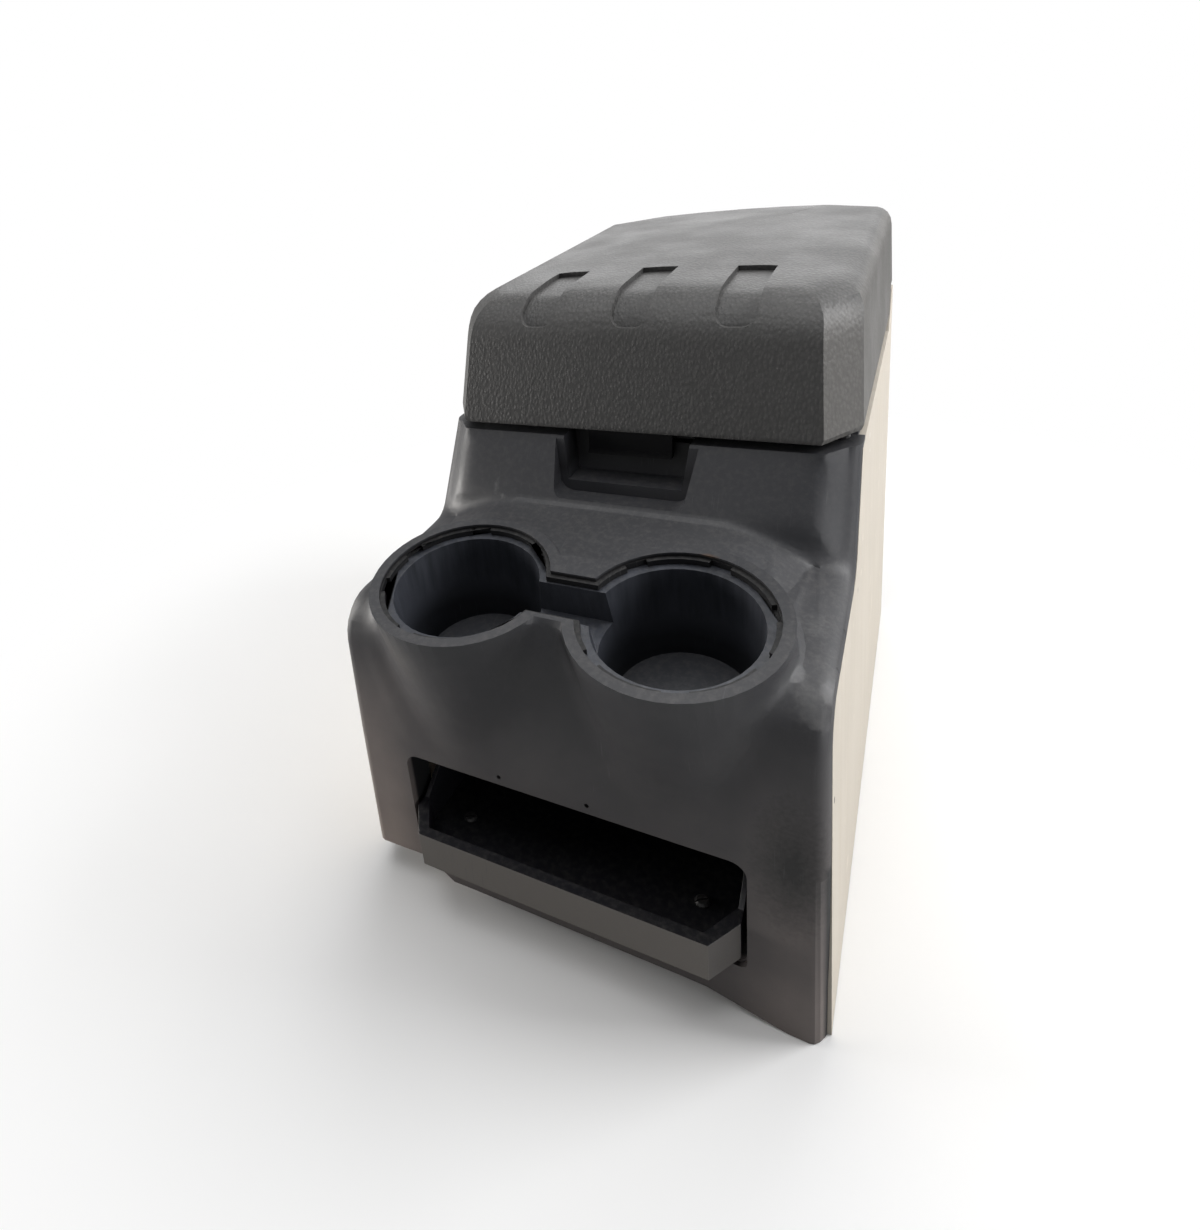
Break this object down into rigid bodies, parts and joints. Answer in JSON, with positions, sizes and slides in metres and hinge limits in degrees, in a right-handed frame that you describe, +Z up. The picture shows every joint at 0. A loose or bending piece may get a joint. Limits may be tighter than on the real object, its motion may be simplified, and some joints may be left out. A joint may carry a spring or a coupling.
{
  "type": "car center console",
  "caption": "Floor console for a van or truck: storage bin under a hinged armrest lid with a latch, open cup holders in a dark front moulding and a shallow tray below",
  "frame": {"origin": "on the floor plane under the middle of the bounding box", "axes": "+X to the right of someone facing the front, -Y towards the cup holder front, +Z up"},
  "size_m": [0.299, 0.588, 0.3842],
  "materials": {
    "pale_plastic": "pale moulded plastic, fine grain",
    "front_plastic": "dark grey moulded plastic, fine grain, worn",
    "black_plastic": "black moulded plastic, slight gloss",
    "lid_plastic": "dark grey moulded plastic with leather-like grain",
    "rubber": "soft black rubber",
    "steel": "zinc plated steel",
    "black_steel": "black coated steel"
  },
  "bodies": {
    "console": {"carrier_body": "pale_plastic", "fascia": "front_plastic", "bin_liner": "black_plastic", "cup_tub": "black_plastic", "lower_tray": "black_plastic", "tray_screw_left": "black_steel", "tray_screw_right": "black_steel", "front_screw_left": "steel", "front_screw_right": "steel", "striker": "steel", "lid_stop_left": "rubber", "lid_stop_right": "rubber", "hinge_leaf_body": "steel", "hinge_body_screw_left": "steel", "hinge_body_screw_right": "steel", "hinge_pin": "steel"},
    "lid": {"lid_cover": "lid_plastic", "lid_panel": "black_plastic", "panel_screw_1": "steel", "panel_screw_2": "steel", "panel_screw_3": "steel", "panel_screw_4": "steel", "hinge_leaf_lid": "steel", "hinge_lid_screw_left": "steel", "hinge_lid_screw_right": "steel", "latch_pin": "steel", "latch_spring": "steel"},
    "latch": {"latch_paddle": "black_plastic"}
  },
  "joints": [
    {"name": "lid_hinge", "type": "hinge", "parent": "console", "child": "lid", "pos_m": [0, 0.256, 0.302], "axis": [-1, 0, 0], "range_deg": [0, 100]},
    {"name": "latch_hinge", "type": "hinge", "parent": "lid", "child": "latch", "pos_m": [0, -0.1005, 0.289], "axis": [-1, 0, 0], "range_deg": [0, 12], "stiffness_Nm_per_rad": 0.02}
  ]
}
